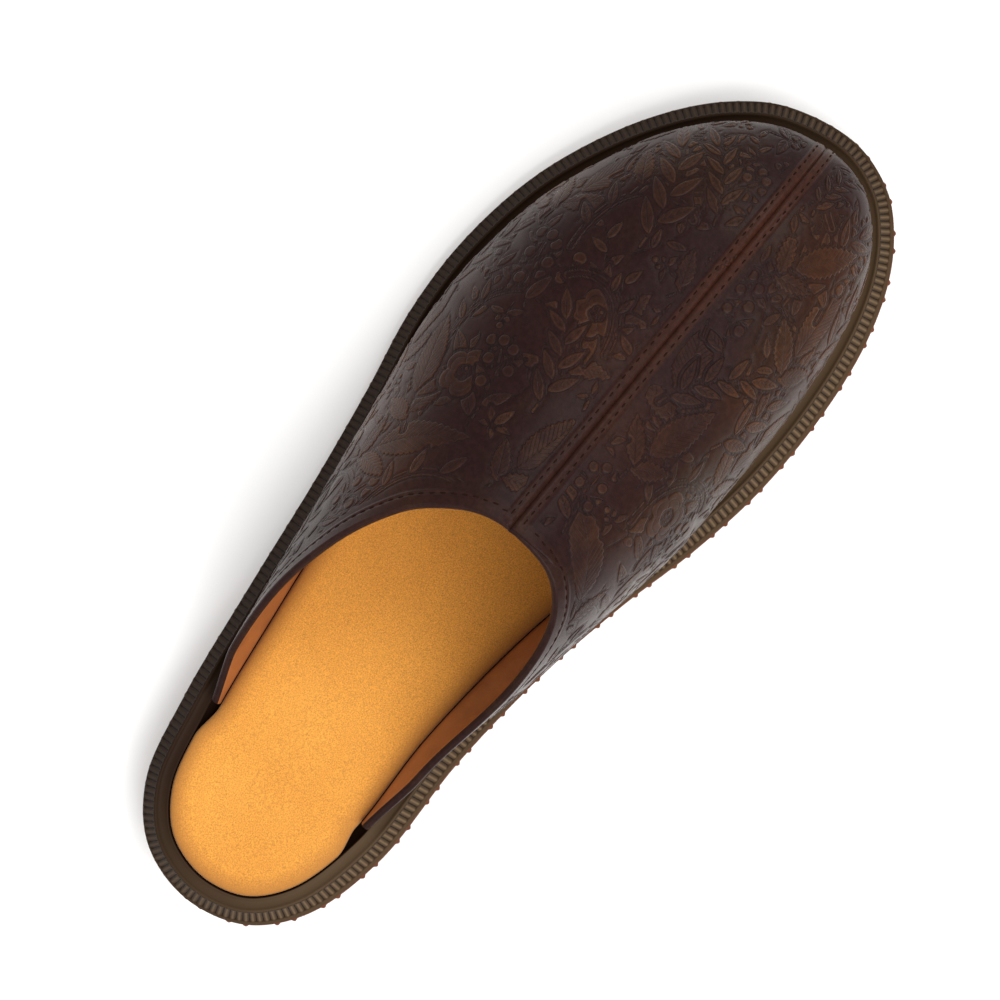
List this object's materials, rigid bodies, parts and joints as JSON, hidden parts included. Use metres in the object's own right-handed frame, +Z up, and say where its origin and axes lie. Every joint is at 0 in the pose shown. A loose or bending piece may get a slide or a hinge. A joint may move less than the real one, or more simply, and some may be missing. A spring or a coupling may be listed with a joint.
{
  "type": "mule",
  "caption": "Slip-on backless mule for the left foot: hollow leather vamp with a centre seam, tan footbed and a ribbed rubber sole with a low heel.",
  "frame": {"origin": "on the floor, under the middle of the shoe's box", "axes": "+X towards the toe, +Y towards the outer side of the foot, +Z up"},
  "size_m": [0.2902, 0.1142, 0.0784],
  "materials": {
    "outsole_rubber": "satin moulded red-brown rubber",
    "rim_rubber": "satin olive-brown moulded rubber",
    "footbed_leather": "fine-napped golden tan leather",
    "upper_leather": "waxed dark brown leather with low embossing"
  },
  "bodies": {
    "root": {"outsole": "outsole_rubber", "midsole": "rim_rubber", "insole": "footbed_leather", "upper": "upper_leather"}
  },
  "joints": []
}
